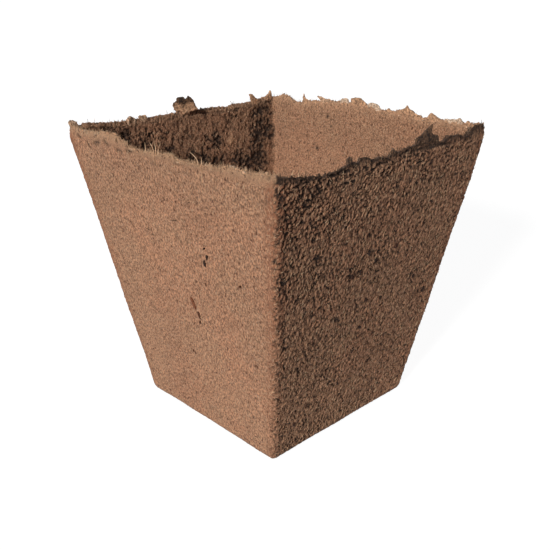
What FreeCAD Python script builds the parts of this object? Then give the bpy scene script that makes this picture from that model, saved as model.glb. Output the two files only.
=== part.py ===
"""Square peat pot: one wet-pressed moulding of peat and wood fibre, torn from its strip of pots.

The pot stands on Z = 0 with its axis on Z. Its front wall faces -Y and its right wall faces +X.
What was pressed into the pulp or is coming off it is a piece of its own: flakes, fibres and bark.
"""
import FreeCAD
import Part
import math
import os

# Sizes of the moulding, in millimetres
rim_side = 80.0  # outside, across two walls at the rim
base_side = 53.7  # outside, across two walls, carried down to the bottom plane
band_bottom = 77.9  # height where the leaning wall turns upright
tear_rise = 3.3  # from there to the middle height of the torn edge
wall = 2.0
floor_thickness = 2.2
corner_radius = 1.6  # upright edges, outside
inner_corner_radius = 1.0
least_corner_radius = 0.4  # where a rounded bottom edge draws an upright one in
base_edge_radius = 2.2
inner_floor_radius = 1.4
drain_hole_radius = 4.0
base_front_drift = 0.65  # the dried pot is a little out of square at two corners
rim_back_drift = 0.9

# Shares of a quarter turn at which an edge radius gets a section
edge_step_shares = (0.0, 0.35, 0.7, 1.0)

# Torn edge of each wall: shares of the wall from its low end of X or Y, and shares of tear_rise
front_tear_shares = (
    (0.00, 1.10), (0.03, 1.05), (0.08, 0.80), (0.13, 0.90), (0.19, 1.00), (0.27, 1.04),
    (0.29, 0.92), (0.31, 0.70), (0.34, 0.50), (0.38, 0.39), (0.44, 0.44), (0.51, 0.56),
    (0.56, 0.64), (0.58, 0.41), (0.61, 0.36), (0.66, 0.50), (0.76, 0.57), (0.81, 0.78),
    (0.87, 0.75), (0.92, 0.80), (0.98, 0.93), (1.00, 0.96),
)
right_tear_shares = (
    (0.00, 0.96), (0.03, 0.81), (0.07, 0.62), (0.12, 0.41), (0.17, 0.26), (0.21, 0.36),
    (0.25, 0.48), (0.28, 0.60), (0.31, 0.62), (0.35, 0.80), (0.40, 0.49), (0.46, 0.46),
    (0.49, 0.52), (0.53, 0.62), (0.58, 0.78), (0.62, 0.86), (0.70, 0.74), (0.75, 0.56),
    (0.78, 0.85), (0.83, 0.79), (0.87, 0.51), (0.89, 0.59), (0.92, 1.02), (0.96, 1.22),
    (1.00, 1.08),
)
back_tear_shares = (
    (0.00, 1.02), (0.03, 1.14), (0.05, 1.30), (0.08, 1.38), (0.10, 1.22), (0.13, 0.82),
    (0.17, 0.90), (0.22, 1.10), (0.26, 1.18), (0.30, 1.26), (0.36, 1.38), (0.43, 1.46),
    (0.48, 1.50), (0.54, 1.46), (0.57, 1.18), (0.62, 1.16), (0.65, 1.27), (0.68, 1.36),
    (0.72, 1.22), (0.75, 0.93), (0.79, 1.10), (0.83, 1.02), (0.89, 1.06), (0.93, 1.03),
    (0.95, 0.97), (0.98, 1.20), (1.00, 1.08),
)
left_tear_shares = (
    (0.00, 1.10), (0.02, 1.18), (0.04, 0.90), (0.06, 1.06), (0.10, 0.98), (0.15, 0.84),
    (0.20, 0.70), (0.28, 0.74), (0.33, 0.68), (0.38, 0.78), (0.43, 0.76), (0.50, 0.84),
    (0.57, 0.86), (0.65, 0.80), (0.73, 0.68), (0.76, 0.85), (0.83, 0.80), (0.88, 0.90),
    (0.94, 1.10), (1.00, 1.02),
)
moulding_top_share = 2.2  # the untorn moulding is this many tear_rise high above the band's foot
cutter_top_share = 2.4  # and each cut above the torn edge runs on past it
past_corner_share = 1.5  # how far a cut's wedge reaches, in distances from the axis to a corner

# Torn flakes: thin plates that stand on the torn edge, with sizes that the shares below follow
flake_width = 4.0
flake_height = 1.6
flake_thickness = 1.1
flake_root_depth = 2.5  # how deep its root starts under the torn edge, before it is trimmed to the wall

# Through a flake: share of its thickness from its middle, and share of its size
flake_level_shares = ((-0.5, 0.88), (0.0, 1.0), (0.5, 0.88))

# Flakes of each wall: share of the wall, share of flake_thickness, lean outwards as a share of the
# height, and the outline from its left root to its right one in shares of flake_width and flake_height
front_flake_shares = (
    (0.222, 0.8, 0.15, ((-0.22, 0.00), (-0.12, 0.32), (0.10, 0.36), (0.24, 0.00))),
    (0.262, 0.8, 0.10, ((-0.25, 0.00), (-0.05, 0.42), (0.20, 0.30), (0.26, 0.00))),
    (0.822, 0.6, 0.20, ((-0.30, 0.00), (-0.22, 0.30), (0.15, 0.22), (0.30, 0.00))),
)
right_flake_shares = (
    (0.292, 0.9, 0.05, ((-0.20, 0.00), (-0.16, 0.70), (0.00, 0.95), (0.12, 0.80), (0.20, 0.00))),
    (0.489, 0.9, 0.05, ((-0.22, 0.00), (-0.10, 0.75), (0.08, 0.80), (0.20, 0.40), (0.24, 0.00))),
    (0.660, 0.9, -0.05, (
        (-1.18, 0.05), (-1.06, 0.70), (-0.44, 1.50), (0.28, 2.27), (0.54, 2.53),
        (0.30, 1.75), (0.52, 1.00), (1.14, 0.66), (1.28, 0.00),
    )),
    (0.932, 0.7, 0.10, ((-0.30, 0.00), (-0.15, 0.45), (0.20, 0.52), (0.35, 0.10))),
)
back_flake_shares = (
    (0.196, 0.7, 0.05, (
        (-0.38, 0.00), (-0.34, 1.00), (-0.28, 1.45), (-0.20, 0.95), (-0.05, 0.60), (0.20, 0.36), (0.42, 0.05),
    )),
    (0.300, 0.5, 0.05, (
        (-0.60, 0.05), (-0.68, 0.34), (-0.92, 0.66), (-0.88, 0.80), (-0.58, 0.76), (-0.30, 0.56),
        (0.00, 0.46), (0.35, 0.50), (0.58, 0.36), (0.70, 0.10),
    )),
    (0.393, 0.4, 0.10, ((-0.42, 0.00), (-0.26, 0.55), (0.14, 0.78), (0.38, 0.66), (0.50, 0.05))),
    (0.460, 0.9, 0.00, (
        (-0.67, 0.00), (-0.65, 0.78), (-0.30, 0.95), (0.26, 1.03), (0.55, 0.62), (0.81, 0.00),
    )),
    (0.540, 0.8, 0.05, (
        (-0.68, 0.05), (-0.50, 0.33), (-0.20, 0.48), (0.10, 0.38), (0.40, 0.00), (0.62, -0.55),
    )),
    (0.603, 0.7, 0.05, ((-0.18, 0.00), (-0.06, 0.40), (0.10, 0.36), (0.30, 0.00))),
    (0.685, 0.8, 0.00, (
        (-0.81, -0.10), (-0.40, 0.25), (-0.16, 0.62), (-0.03, 1.05), (0.10, 0.78), (0.30, 0.38),
        (0.71, -0.05), (1.00, -0.55),
    )),
    (0.795, 0.8, 0.05, (
        (-0.46, -0.05), (-0.38, 0.40), (-0.24, 0.80), (-0.06, 0.66), (0.20, 0.38), (0.46, 0.12),
        (0.66, -0.12),
    )),
    (0.870, 0.4, 0.15, (
        (-0.62, 0.00), (-0.50, 0.16), (0.00, 0.27), (0.40, 0.42), (0.60, 0.66), (0.77, 0.46), (0.88, 0.05),
    )),
    (0.934, 0.7, 0.00, ((-0.18, 0.00), (-0.08, 0.38), (0.04, 0.48), (0.22, 0.05))),
)
left_flake_shares = (
    (0.250, 0.9, 0.05, (
        (-0.36, 0.05), (-0.30, 0.40), (-0.05, 0.72), (0.10, 0.62), (0.36, 0.20), (0.42, 0.00),
    )),
    (0.303, 0.9, 0.05, (
        (-0.38, 0.00), (-0.34, 0.60), (-0.25, 0.66), (0.00, 0.55), (0.25, 0.66), (0.33, 0.60), (0.35, 0.00),
    )),
    (0.870, 0.8, 0.05, (
        (-0.32, 0.00), (-0.46, 0.95), (-0.56, 1.38), (-0.40, 1.50), (-0.16, 1.42), (-0.04, 0.95),
        (0.20, 0.50), (0.56, 0.10),
    )),
    (0.955, 0.7, 0.00, (
        (-0.50, 0.05), (-0.10, 0.40), (0.12, 0.75), (0.22, 1.25), (0.32, 1.15), (0.34, 0.55), (0.38, 0.05),
    )),
)

# The curled flake on the left wall, turned inwards, with its outline in shares of its own width and height
curled_flake_place_share = 0.50
curled_flake_width = 8.2
curled_flake_height = 4.7
curled_flake_thickness = 1.3
curled_flake_root_depth = 0.8
curled_flake_inset = 1.55  # its middle, in from the wall's outer face
curled_flake_lean_share = -0.03
curled_flake_turn_share = 0.27  # of a quarter turn
curled_outline_shares = (
    (-0.15, -0.05), (-0.32, -0.04), (-0.44, 0.12), (-0.50, 0.40), (-0.48, 0.57), (-0.35, 0.71),
    (-0.33, 0.88), (-0.22, 0.94), (-0.08, 0.93), (-0.02, 0.78), (0.03, 0.82), (0.10, 1.00),
    (0.16, 0.92), (0.29, 0.70), (0.40, 0.26), (0.47, 0.08), (0.15, -0.05),
)

# Loose fibres of the torn edge: share of the wall, share of fibre_length,
# and lean outwards and along the wall as shares of the fibre's own length
fibre_length = 2.4
fibre_radius = 0.2
fibre_root_depth = 1.5
fibre_inset_share = 0.3  # of the wall, in from its outer face
fibre_sides = 5
fibre_level_shares = ((0.0, 1.0), (0.5, 0.9), (1.0, 0.5))  # share of its length, share of its radius
front_fibre_shares = (
    (0.341, 0.60, 0.10, 0.25),
    (0.436, 0.90, 0.05, 0.02),
    (0.477, 0.95, 0.15, -0.45),
    (0.488, 1.20, 0.10, -0.08),
    (0.499, 1.00, 0.15, 0.65),
    (0.683, 0.90, 0.10, -1.10),
    (0.699, 0.65, 0.05, 0.05),
    (0.878, 0.50, 0.10, 0.10),
)
right_fibre_shares = (
    (0.060, 0.55, 0.10, 0.15),
    (0.085, 0.45, 0.15, -0.20),
)

# Bark pressed into the outside: share of the wall, share of band_bottom,
# shares of bark_length and bark_width, and slant as a share of a quarter turn
bark_length = 3.0
bark_width = 1.0
bark_proud = 0.25  # how far it stands out of the wall
bark_depth_share = 0.4  # of the wall
bark_sides = 8
# From its buried face out: share of its depth or of bark_proud, and share of its size
bark_level_shares = ((-1.0, 0.55), (0.0, 1.0), (1.0, 0.6))
front_bark_shares = (
    (0.557, 0.520, 1.05, 1.10, 0.24),
    (0.580, 0.483, 0.72, 0.55, 0.24),
    (0.579, 0.454, 0.32, 0.70, 0.10),
    (0.663, 0.698, 0.63, 0.65, 0.22),
    (0.680, 0.722, 0.45, 0.50, -0.12),
    (0.671, 0.750, 0.22, 0.55, 0.00),
    (0.834, 0.662, 0.25, 0.55, 0.30),
    (0.494, 0.316, 0.28, 0.50, -0.30),
)
right_bark_shares = (
    (0.446, 0.707, 0.42, 1.00, 0.10),
    (0.494, 0.669, 0.60, 0.45, -0.35),
    (0.371, 0.641, 0.45, 0.80, 0.00),
    (0.415, 0.645, 0.55, 0.50, 0.05),
    (0.600, 0.696, 0.55, 0.70, -0.35),
    (0.479, 0.525, 0.42, 0.60, -0.40),
    (0.427, 0.518, 0.48, 0.60, 0.10),
    (0.480, 0.420, 0.32, 0.80, 0.30),
    (0.579, 0.365, 0.34, 0.50, -0.30),
    (0.779, 0.540, 0.36, 1.10, -0.40),
    (0.893, 0.458, 0.60, 0.95, 0.00),
    (0.459, 0.334, 0.62, 0.70, -0.15),
    (0.398, 0.211, 0.34, 0.50, -0.30),
    (0.125, 0.130, 0.55, 0.70, 0.20),
)

# The corners round the pot from (-X, -Y), and each wall by those at its low and high end of X or Y
CORNERS = ("front_left", "front_right", "back_right", "back_left")
WALLS = {
    "front": ("front_left", "front_right"),
    "right": ("front_right", "back_right"),
    "back": ("back_left", "back_right"),
    "left": ("front_left", "back_left"),
}
TEARS = {
    "front": front_tear_shares,
    "right": right_tear_shares,
    "back": back_tear_shares,
    "left": left_tear_shares,
}
FLAKES = {
    "front": front_flake_shares,
    "right": right_flake_shares,
    "back": back_flake_shares,
    "left": left_flake_shares,
}
FIBRES = {"front": front_fibre_shares, "right": right_fibre_shares}
BARK_NODES = {
    "bark_slivers_front_wall": ("front", front_bark_shares),
    "bark_chips_right_wall": ("right", right_bark_shares),
}


def corner_points(z):
    """The four sharp outside corners at a height, in the order of CORNERS."""
    up = min(z / band_bottom, 1)
    half = (base_side + (rim_side - base_side) * up) / 2
    front = base_front_drift * (1 - up)
    back = rim_back_drift * up
    return [
        FreeCAD.Vector(-half, -half, z),
        FreeCAD.Vector(half - front, -half - front, z),
        FreeCAD.Vector(half, half, z),
        FreeCAD.Vector(-half - back, half - back, z),
    ]


def corner_directions(corners, i):
    """Directions from a corner to its neighbours and between them, and half the angle there."""
    to_last = (corners[i - 1] - corners[i]).normalize()
    to_next = (corners[(i + 1) % len(corners)] - corners[i]).normalize()
    middle = (to_last + to_next).normalize()
    return to_last, to_next, middle, middle.getAngle(to_next)


def inset_corners(corners, inset):
    """Those corners with every side moved in by the same distance."""
    moved = []
    for i, corner in enumerate(corners):
        middle, half_angle = corner_directions(corners, i)[2:]
        moved.append(corner + middle * (inset / math.sin(half_angle)))
    return moved


def rounded_wire(corners, radius):
    """A closed wire of four sides joined by arcs."""
    arcs = []
    for i, corner in enumerate(corners):
        to_last, to_next, middle, half_angle = corner_directions(corners, i)
        reach = radius / math.tan(half_angle)
        centre = corner + middle * (radius / math.sin(half_angle))
        arcs.append(Part.Arc(corner + to_last * reach, centre - middle * radius, corner + to_next * reach))
    edges = []
    for i, arc in enumerate(arcs):
        edges.append(arc.toShape())
        edges.append(Part.LineSegment(arc.EndPoint, arcs[(i + 1) % len(arcs)].StartPoint).toShape())
    return Part.Wire(edges)


def section(z, inset, radius):
    return rounded_wire(inset_corners(corner_points(z), inset), max(radius, least_corner_radius))


def tapered_block(bottom, edge_radius, inset, radius, top):
    """A solid with the pot's taper, a rounded bottom edge and an upright top band."""
    wires = []
    for share in edge_step_shares:
        turn = share * math.pi / 2
        more = edge_radius * (1 - math.sin(turn))
        wires.append(section(bottom + edge_radius * (1 - math.cos(turn)), inset + more, radius - more))
    wires.append(section(band_bottom, inset, radius))
    wires.append(section(top, inset, radius))
    return Part.makeLoft(wires, True, True)


def wall_ends(name, z):
    """A wall's sharp outside corners at a height, at its low and its high end."""
    places = dict(zip(CORNERS, corner_points(z)))
    low, high = WALLS[name]
    return places[low], places[high]


def wall_frame(name, share, z):
    """A point on a wall's outer face, and the directions along the wall, up it and out of it."""
    low, high = wall_ends(name, z)
    low_above, high_above = wall_ends(name, z + wall)
    point = low + (high - low) * share
    along = (high - low).normalize()
    up = (low_above + (high_above - low_above) * share - point).normalize()
    outward = along.cross(up).normalize()
    if outward.dot(FreeCAD.Vector(point.x, point.y, 0)) < 0:
        outward = outward * -1
    return point, along, up, outward


def tear_height(name, share):
    """Height of a wall's torn edge at a share of its length."""
    points = TEARS[name]
    for (low, low_rise), (high, high_rise) in zip(points, points[1:]):
        if low <= share <= high:
            rise = low_rise + (high_rise - low_rise) * (share - low) / (high - low)
            return band_bottom + rise * tear_rise
    raise ValueError("a share lies between 0 and 1")


def tear_cutter(name):
    """What was torn away above one wall, as far as the upright planes through its corners."""
    top = band_bottom + cutter_top_share * tear_rise
    low, high = wall_ends(name, top)
    edge = []
    for share, rise in TEARS[name]:
        point = low + (high - low) * share
        edge.append(FreeCAD.Vector(point.x, point.y, band_bottom + rise * tear_rise))
    past = high - low
    outline = [edge[0] - past] + edge + [edge[-1] + past, high + past, low - past]
    outward = wall_frame(name, 1 / 2, top)[3]
    sheet = Part.Face(Part.makePolygon(outline + outline[:1]))
    sheet.translate(outward * wall)
    slab = sheet.extrude(outward * -rim_side)
    sector = [FreeCAD.Vector(0, 0, 0)]
    sector += [FreeCAD.Vector(end.x, end.y, 0) * past_corner_share for end in (low, high)]
    wedge = Part.Face(Part.makePolygon(sector + sector[:1])).extrude(FreeCAD.Vector(0, 0, top))
    return slab.common(wedge)


def make_moulding():
    """Floor and four walls in one, with the torn rim and the drain hole."""
    top = band_bottom + moulding_top_share * tear_rise
    outside = tapered_block(0, base_edge_radius, 0, corner_radius, top)
    inside = tapered_block(floor_thickness, inner_floor_radius, wall, inner_corner_radius, top + wall)
    hole = Part.makeCylinder(drain_hole_radius, floor_thickness + wall, FreeCAD.Vector(0, 0, -wall / 2))
    body = outside.cut(inside).cut(hole)
    for name in WALLS:
        body = body.cut(tear_cutter(name))
    return body


def ring(centre, wide, thick, width, thickness, sides):
    """A closed outline of straight sides round a centre."""
    points = []
    for i in range(sides):
        angle = 2 * math.pi * i / sides
        across = wide * (width * math.cos(angle) / 2)
        through = thick * (thickness * math.sin(angle) / 2)
        points.append(centre + across + through)
    return Part.makePolygon(points + points[:1])


def loft(rings):
    return Part.makeLoft(rings, True, True)


def make_flake(name, place_share, width, height, thickness, lean_share, outline_shares, inset,
               root_depth, turn_share=0):
    """A thin plate that stands on a wall's torn edge, its root still inside the wall."""
    point, along, up, outward = wall_frame(name, place_share, tear_height(name, place_share))
    turn = turn_share * math.pi / 2
    wide = along * math.cos(turn) - outward * math.sin(turn)
    through = outward * math.cos(turn) + along * math.sin(turn)
    rise = up + outward * lean_share
    foot = point - outward * inset
    corners = [wide * (width * across) + rise * (height * level) for across, level in outline_shares]
    corners += [wide * (width * outline_shares[i][0]) - rise * root_depth for i in (-1, 0)]
    rings = []
    for depth_share, size_share in flake_level_shares:
        middle = foot + through * (thickness * depth_share)
        points = [middle + corner * size_share for corner in corners]
        rings.append(Part.makePolygon(points + points[:1]))
    return loft(rings)


def make_wall_flakes(name):
    """The small torn flakes on one wall."""
    return [
        make_flake(name, place, flake_width, flake_height, flake_thickness * thickness, lean, outline,
                   wall / 2, flake_root_depth)
        for place, thickness, lean, outline in FLAKES[name]
    ]


def make_curled_flake():
    return make_flake("left", curled_flake_place_share, curled_flake_width, curled_flake_height,
                      curled_flake_thickness, curled_flake_lean_share, curled_outline_shares,
                      curled_flake_inset, curled_flake_root_depth, curled_flake_turn_share)


def make_fibre(name, place_share, length, lean_share, slide_share):
    """A fibre that tapers and bends over, with its root held in the wall."""
    point, along, up, outward = wall_frame(name, place_share, tear_height(name, place_share))
    foot = point - outward * (wall * fibre_inset_share)
    width = 2 * fibre_radius
    rings = [ring(foot - up * fibre_root_depth, along, outward, width, width, fibre_sides)]
    for level, size_share in fibre_level_shares:
        bend = outward * (lean_share * level * level) + along * (slide_share * level * level)
        centre = foot + (up * level + bend) * length
        rings.append(ring(centre, along, outward, width * size_share, width * size_share, fibre_sides))
    return loft(rings)


def make_wall_fibres(name):
    return [
        make_fibre(name, place, fibre_length * length, lean, slide)
        for place, length, lean, slide in FIBRES[name]
    ]


def make_bark(name, place_share, height_share, length, width, slant_share):
    """A chip of bark pressed into a wall's outer face, standing a little out of it."""
    point, along, up, outward = wall_frame(name, place_share, height_share * band_bottom)
    slant = slant_share * math.pi / 2
    wide = along * math.cos(slant) + up * math.sin(slant)
    tall = up * math.cos(slant) - along * math.sin(slant)
    rings = []
    for level, size_share in bark_level_shares:
        reach = bark_proud * level if level > 0 else wall * bark_depth_share * level
        centre = point + outward * reach
        rings.append(ring(centre, wide, tall, width * size_share, length * size_share, bark_sides))
    return loft(rings)


def make_wall_bark(name, bark_shares):
    return [
        make_bark(name, place, height, bark_length * length, bark_width * width, slant)
        for place, height, length, width, slant in bark_shares
    ]


def save(name, solids):
    """Writes one node."""
    for solid in solids:
        if not solid.isValid() or solid.Volume <= 0:
            raise ValueError("a solid of " + name + " isn't sound")
    shape = solids[0] if len(solids) == 1 else Part.makeCompound(solids)
    shape.exportStep(os.path.join("parts", name + ".step"))
    print(name, len(solids), "solids", round(shape.Volume, 3), "mm3")


def main():
    os.makedirs("parts", exist_ok=True)
    body = make_moulding()

    # Bark and fibres were in the pulp when it was pressed, so each sits in a pocket of its own
    held = {}
    for node, (name, bark_shares) in BARK_NODES.items():
        held[node] = make_wall_bark(name, bark_shares)
    for name in FIBRES:
        held["loose_fibres_" + name + "_rim"] = make_wall_fibres(name)
    for solids in held.values():
        body = body.cut(solids)

    # Flakes are trimmed to the torn edge that they stand on
    standing = {"curled_flake_left_rim": [make_curled_flake()]}
    for name in FLAKES:
        standing["torn_flakes_" + name + "_rim"] = make_wall_flakes(name)
    for node, solids in standing.items():
        held[node] = [solid for flake in solids for solid in flake.cut(body).Solids]

    save("pot_body", body.Solids)
    for node, solids in held.items():
        save(node, solids)
    whole = Part.makeCompound([body] + [solid for solids in held.values() for solid in solids])
    print("box", whole.BoundBox)


main()
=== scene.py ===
"""Square peat pot: felted walls, torn rim, flakes, fibres and bark, on a pale floor.

Lengths are in metres. The front wall faces -Y and the right wall faces +X.
"""
import itertools
import math

import bpy
import numpy as np
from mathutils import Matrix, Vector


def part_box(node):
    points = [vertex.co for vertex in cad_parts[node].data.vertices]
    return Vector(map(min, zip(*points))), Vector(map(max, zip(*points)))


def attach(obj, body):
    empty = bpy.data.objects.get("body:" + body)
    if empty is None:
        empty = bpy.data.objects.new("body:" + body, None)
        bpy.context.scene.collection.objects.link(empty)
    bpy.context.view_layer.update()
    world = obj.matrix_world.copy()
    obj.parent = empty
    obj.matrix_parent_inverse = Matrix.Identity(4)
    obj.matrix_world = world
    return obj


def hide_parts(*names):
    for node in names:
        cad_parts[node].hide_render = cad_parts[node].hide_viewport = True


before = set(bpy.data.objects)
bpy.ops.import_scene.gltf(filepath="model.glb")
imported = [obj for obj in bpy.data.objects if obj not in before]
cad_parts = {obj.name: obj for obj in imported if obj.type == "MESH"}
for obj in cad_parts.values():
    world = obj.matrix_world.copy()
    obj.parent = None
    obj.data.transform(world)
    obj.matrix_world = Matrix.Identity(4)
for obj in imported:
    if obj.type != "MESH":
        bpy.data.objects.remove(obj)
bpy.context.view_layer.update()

mm = 0.001

# Sizes of the moulding
rim_side = 2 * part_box("pot_body")[1].x
base_side = 53.7 * mm
band_bottom = 77.9 * mm
tear_rise = 3.3 * mm
wall = 2.0 * mm
floor_thickness = 2.2 * mm
corner_radius = 1.6 * mm
inner_corner_radius = 1.0 * mm
least_corner_radius = 0.4 * mm
base_edge_radius = 2.2 * mm
inner_floor_radius = 1.4 * mm
drain_hole_radius = 4.0 * mm
base_front_drift = 0.65 * mm
rim_back_drift = 0.9 * mm

# Torn edge of each wall: shares of the wall from its low end of X or Y, and shares of tear_rise
TEAR_SHARES = {
    "front": (
        (0, 1.1), (0.03, 1.05), (0.08, 0.8), (0.13, 0.9), (0.19, 1), (0.27, 1.04), (0.29, 0.92),
        (0.31, 0.7), (0.34, 0.5), (0.38, 0.39), (0.44, 0.44), (0.51, 0.56), (0.56, 0.64), (0.58, 0.41),
        (0.61, 0.36), (0.66, 0.5), (0.76, 0.57), (0.81, 0.78), (0.87, 0.75), (0.92, 0.8), (0.98, 0.93),
        (1, 0.96),
    ),
    "right": (
        (0, 0.96), (0.03, 0.81), (0.07, 0.62), (0.12, 0.41), (0.17, 0.26), (0.21, 0.36), (0.25, 0.48),
        (0.28, 0.6), (0.31, 0.62), (0.35, 0.8), (0.4, 0.49), (0.46, 0.46), (0.49, 0.52), (0.53, 0.62),
        (0.58, 0.78), (0.62, 0.86), (0.7, 0.74), (0.75, 0.56), (0.78, 0.85), (0.83, 0.79), (0.87, 0.51),
        (0.89, 0.59), (0.92, 1.02), (0.96, 1.22), (1, 1.08),
    ),
    "back": (
        (0, 1.02), (0.03, 1.14), (0.05, 1.3), (0.08, 1.38), (0.1, 1.22), (0.13, 0.82), (0.17, 0.9),
        (0.22, 1.1), (0.26, 1.18), (0.3, 1.26), (0.36, 1.38), (0.43, 1.46), (0.48, 1.5), (0.54, 1.46),
        (0.57, 1.18), (0.62, 1.16), (0.65, 1.27), (0.68, 1.36), (0.72, 1.22), (0.75, 0.93), (0.79, 1.1),
        (0.83, 1.02), (0.89, 1.06), (0.93, 1.03), (0.95, 0.97), (0.98, 1.2), (1, 1.08),
    ),
    "left": (
        (0, 1.1), (0.02, 1.18), (0.04, 0.9), (0.06, 1.06), (0.1, 0.98), (0.15, 0.84), (0.2, 0.7),
        (0.28, 0.74), (0.33, 0.68), (0.38, 0.78), (0.43, 0.76), (0.5, 0.84), (0.57, 0.86), (0.65, 0.8),
        (0.73, 0.68), (0.76, 0.85), (0.83, 0.8), (0.88, 0.9), (0.94, 1.1), (1, 1.02),
    ),
}

# How ragged, dark and pale each wall's torn edge is, and how far its inner edge lies under the outer one,
# as a share of torn_drop. The dark share is painted shade, most on the right rim, which the key lamp only
# grazes;
# the pale share is paler torn pulp, and on the front rim partly a painted highlight.
torn_drop = 1.0 * mm
TORN_SHARES = {
    "front": (0.8, 0, 1, 0.7), "right": (1, 0.85, 0.1, 0.75),
    "back": (0.8, 0, 0.35, 0.75), "left": (0.45, 0.3, 0.25, 1.2),
}

# Torn flakes of each wall: share of the wall, share of flake_thickness, lean outwards as a share of the
# height, how pale it is, and the outline in shares of flake_width and flake_height
flake_width = 4.0 * mm
flake_height = 1.6 * mm
flake_thickness = 1.1 * mm
flake_root_depth = 2.5 * mm
FLAKE_SHARES = {
    "front": (
        (0.222, 0.8, 0.15, 0.6, ((-0.22, 0), (-0.12, 0.32), (0.1, 0.36), (0.24, 0))),
        (0.262, 0.8, 0.1, 0.6, ((-0.25, 0), (-0.05, 0.42), (0.2, 0.3), (0.26, 0))),
        (0.822, 0.6, 0.2, 0.8, ((-0.3, 0), (-0.22, 0.3), (0.15, 0.22), (0.3, 0))),
    ),
    # The right wall's first three flakes are dark as painted shade, for the key lamp only grazes that wall
    "right": (
        (0.292, 0.9, 0.05, 0.1, ((-0.2, 0), (-0.16, 0.7), (0, 0.95), (0.12, 0.8), (0.2, 0))),
        (0.489, 0.9, 0.05, 0.1, ((-0.22, 0), (-0.1, 0.75), (0.08, 0.8), (0.2, 0.4), (0.24, 0))),
        (0.66, 0.9, -0.05, 0.05, (
            (-1.18, 0.05), (-1.06, 0.7), (-0.44, 1.5), (0.28, 2.27), (0.54, 2.53), (0.3, 1.75), (0.52, 1),
            (1.14, 0.66), (1.28, 0),
        )),
        (0.932, 0.7, 0.1, 0.5, ((-0.3, 0), (-0.15, 0.45), (0.2, 0.52), (0.35, 0.1))),
    ),
    "back": (
        (0.196, 0.7, 0.05, 0.5, (
            (-0.38, 0), (-0.34, 1), (-0.28, 1.45), (-0.2, 0.95), (-0.05, 0.6), (0.2, 0.36), (0.42, 0.05),
        )),
        (0.3, 0.5, 0.05, 0.7, (
            (-0.6, 0.05), (-0.68, 0.34), (-0.92, 0.66), (-0.88, 0.8), (-0.58, 0.76), (-0.3, 0.56),
            (0, 0.46), (0.35, 0.5), (0.58, 0.36), (0.7, 0.1),
        )),
        (0.393, 0.4, 0.1, 0.85, ((-0.42, 0), (-0.26, 0.55), (0.14, 0.78), (0.38, 0.66), (0.5, 0.05))),
        (0.46, 0.9, 0, 0.5, (
            (-0.67, 0), (-0.65, 0.78), (-0.3, 0.95), (0.26, 1.03), (0.55, 0.62), (0.81, 0),
        )),
        (0.54, 0.8, 0.05, 0.85, (
            (-0.68, 0.05), (-0.5, 0.33), (-0.2, 0.48), (0.1, 0.38), (0.4, 0), (0.62, -0.55),
        )),
        (0.603, 0.7, 0.05, 0.5, ((-0.18, 0), (-0.06, 0.4), (0.1, 0.36), (0.3, 0))),
        (0.685, 0.8, 0, 0.5, (
            (-0.81, -0.1), (-0.4, 0.25), (-0.16, 0.62), (-0.03, 1.05), (0.1, 0.78), (0.3, 0.38),
            (0.71, -0.05), (1, -0.55),
        )),
        (0.795, 0.8, 0.05, 0.6, (
            (-0.46, -0.05), (-0.38, 0.4), (-0.24, 0.8), (-0.06, 0.66), (0.2, 0.38), (0.46, 0.12),
            (0.66, -0.12),
        )),
        (0.87, 0.4, 0.15, 0.85, (
            (-0.62, 0), (-0.5, 0.16), (0, 0.27), (0.4, 0.42), (0.6, 0.66), (0.77, 0.46), (0.88, 0.05),
        )),
        (0.934, 0.7, 0, 0.6, ((-0.18, 0), (-0.08, 0.38), (0.04, 0.48), (0.22, 0.05))),
    ),
    "left": (
        (0.25, 0.9, 0.05, 0.7, (
            (-0.36, 0.05), (-0.3, 0.4), (-0.05, 0.72), (0.1, 0.62), (0.36, 0.2), (0.42, 0),
        )),
        (0.303, 0.9, 0.05, 0.7, (
            (-0.38, 0), (-0.34, 0.6), (-0.25, 0.66), (0, 0.55), (0.25, 0.66), (0.33, 0.6), (0.35, 0),
        )),
        (0.87, 0.8, 0.05, 0.4, (
            (-0.32, 0), (-0.46, 0.95), (-0.56, 1.38), (-0.4, 1.5), (-0.16, 1.42), (-0.04, 0.95),
            (0.2, 0.5), (0.56, 0.1),
        )),
        (0.955, 0.7, 0, 0.5, (
            (-0.5, 0.05), (-0.1, 0.4), (0.12, 0.75), (0.22, 1.25), (0.32, 1.15), (0.34, 0.55),
            (0.38, 0.05),
        )),
    ),
}

# The curled flake on the left wall, turned inwards, with its outline in shares of its own width and height
curled_flake_place_share = 0.50
curled_flake_width = 8.2 * mm
curled_flake_height = 4.7 * mm
curled_flake_thickness = 1.3 * mm
curled_flake_root_depth = 0.8 * mm
curled_flake_inset = 1.55 * mm
curled_flake_lean_share = -0.03
curled_flake_turn_share = 0.27
curled_outline_shares = (
    (-0.15, -0.05), (-0.32, -0.04), (-0.44, 0.12), (-0.5, 0.4), (-0.48, 0.57), (-0.35, 0.71),
    (-0.33, 0.88), (-0.22, 0.94), (-0.08, 0.93), (-0.02, 0.78), (0.03, 0.82), (0.1, 1), (0.16, 0.92),
    (0.29, 0.7), (0.4, 0.26), (0.47, 0.08), (0.15, -0.05),
)

# The small flake at the front left corner, in shares of flake_width and flake_height
corner_outline_shares = ((-0.34, -0.55), (-0.4, 0.1), (-0.22, 0.52), (0.05, 0.4), (0.22, 0.1), (0.24, -0.5))

# From one side of a flake to the other: share of its outline's size, and share of its thickness
FLAKE_LAYER_SHARES = (
    (0.3, -0.5), (0.62, -0.5), (0.84, -0.44), (0.95, -0.28), (1, 0), (0.95, 0.28), (0.84, 0.44),
    (0.62, 0.5), (0.3, 0.5),
)

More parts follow.
